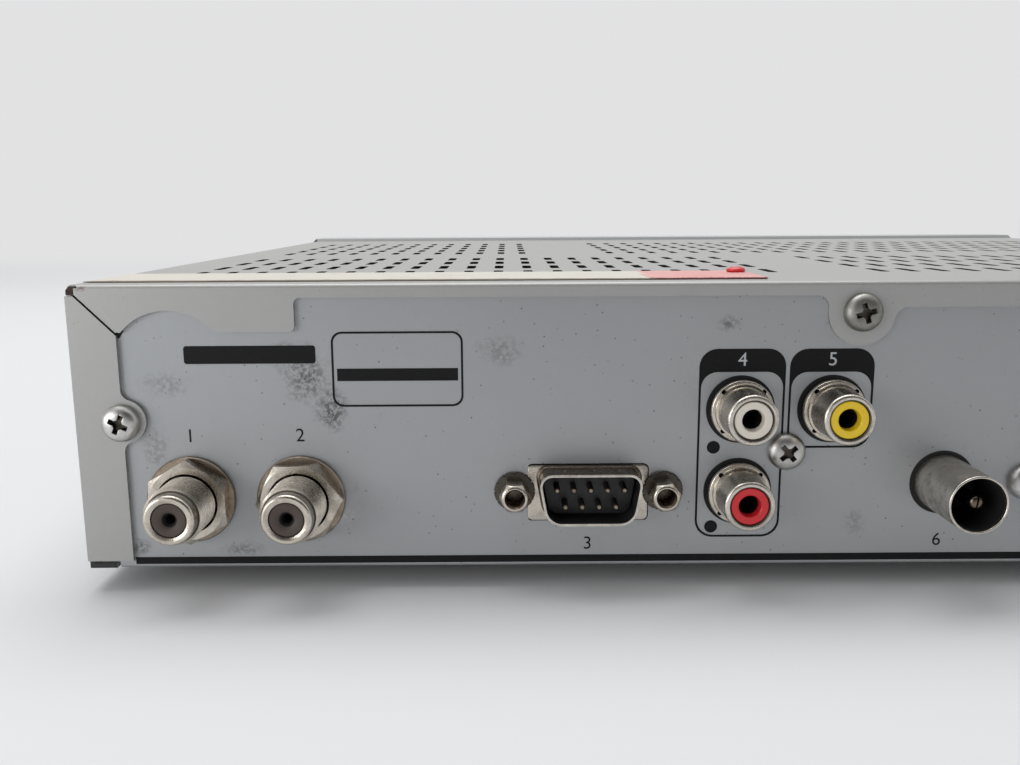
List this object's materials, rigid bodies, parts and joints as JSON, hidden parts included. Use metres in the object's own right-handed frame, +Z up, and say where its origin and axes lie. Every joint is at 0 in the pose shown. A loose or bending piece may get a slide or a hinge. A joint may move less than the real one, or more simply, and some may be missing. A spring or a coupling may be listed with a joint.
{
  "type": "satellite television receiver",
  "caption": "Satellite television receiver box: perforated folded steel cover, rear panel with aerial, serial, sound and picture connectors, mains switch and front buttons.",
  "frame": {"origin": "middle of the footprint, on the surface that the feet stand on", "axes": "+X to the right as seen from the front, +Y towards the rear connectors, +Z up"},
  "size_m": [0.262, 0.2338, 0.0535],
  "materials": {
    "cover_paint": "satin",
    "panel_paint": "satin",
    "front_plastic": "fine grain",
    "button_plastic": "satin",
    "smoked_plastic": "gloss",
    "rubber_foot": "matte",
    "screw_steel": "zinc plated",
    "nickel_plate": "worn nickel plate",
    "dark_insulator": "matte",
    "pale_insulator": "matte",
    "yellow_plastic": "satin",
    "white_plastic": "satin",
    "red_plastic": "satin",
    "black_plastic": "satin",
    "tinplate": "bright tin",
    "heat_sink_alloy": "satin",
    "board_laminate": "satin",
    "brass_hex": "satin",
    "contact_tin": "bright tin",
    "ferrite": "matte",
    "capacitor_sleeve": "gloss",
    "fuse_glass": "gloss",
    "header_plastic": "satin",
    "cable_plastic": "matte",
    "lamp_plastic": "gloss",
    "clear_plastic": "gloss"
  },
  "bodies": {
    "case": {"audio_left_insulator": "white_plastic", "audio_left_shell": "nickel_plate", "audio_right_insulator": "red_plastic", "audio_right_shell": "nickel_plate", "board_headers": "header_plastic", "board_screws": "screw_steel", "board_standoffs": "brass_hex", "button_switches": "black_plastic", "capacitors": "capacitor_sleeve", "chassis": "panel_paint", "chip_heat_sink": "heat_sink_alloy", "decoder_chips": "black_plastic", "digit_display": "black_plastic", "display_window": "smoked_plastic", "feet": "rubber_foot", "front_bezel": "front_plastic", "front_board": "board_laminate", "heat_sink": "heat_sink_alloy", "infrared_receiver": "black_plastic", "inlet_pins": "nickel_plate", "jack_block": "black_plastic", "jack_contacts": "contact_tin", "light_pipe": "clear_plastic", "lnb_in_barrel": "nickel_plate", "lnb_insulators": "dark_insulator", "lnb_nuts": "nickel_plate", "lnb_out_barrel": "nickel_plate", "main_board": "board_laminate", "mains_fuse": "fuse_glass", "mains_inlet": "black_plastic", "modulator_can": "tinplate", "power_board": "board_laminate", "power_harness": "cable_plastic", "power_transformer": "ferrite", "rear_screws": "screw_steel", "rf_in_barrel": "nickel_plate", "rf_in_contact": "nickel_plate", "rf_insulators": "pale_insulator", "rf_out_barrel": "nickel_plate", "rf_out_pin": "nickel_plate", "ribbon_cable": "cable_plastic", "serial_housing": "black_plastic", "serial_jackscrews": "nickel_plate", "serial_pins": "brass_hex", "serial_shell": "nickel_plate", "standby_lamp": "lamp_plastic", "switch_housing": "black_plastic", "switch_leads": "cable_plastic", "top_cover": "cover_paint", "tuner_can": "tinplate", "video_insulator": "yellow_plastic", "video_shell": "nickel_plate"},
    "standby": {"standby_button": "button_plastic"},
    "channel_down": {"channel_down_button": "button_plastic"},
    "channel_up": {"channel_up_button": "button_plastic"},
    "rocker": {"mains_rocker": "black_plastic"}
  },
  "joints": [
    {"name": "standby_press", "type": "slide", "parent": "case", "child": "standby", "axis": [0, 1, 0], "range_m": [0, 0.001], "stiffness_N_per_m": 800},
    {"name": "channel_down_press", "type": "slide", "parent": "case", "child": "channel_down", "axis": [0, 1, 0], "range_m": [0, 0.001], "stiffness_N_per_m": 800},
    {"name": "channel_up_press", "type": "slide", "parent": "case", "child": "channel_up", "axis": [0, 1, 0], "range_m": [0, 0.001], "stiffness_N_per_m": 800},
    {"name": "rocker_tilt", "type": "hinge", "parent": "case", "child": "rocker", "pos_m": [-0.083, 0.1014, 0.024], "axis": [1, 0, 0], "range_deg": [0, 20]}
  ]
}
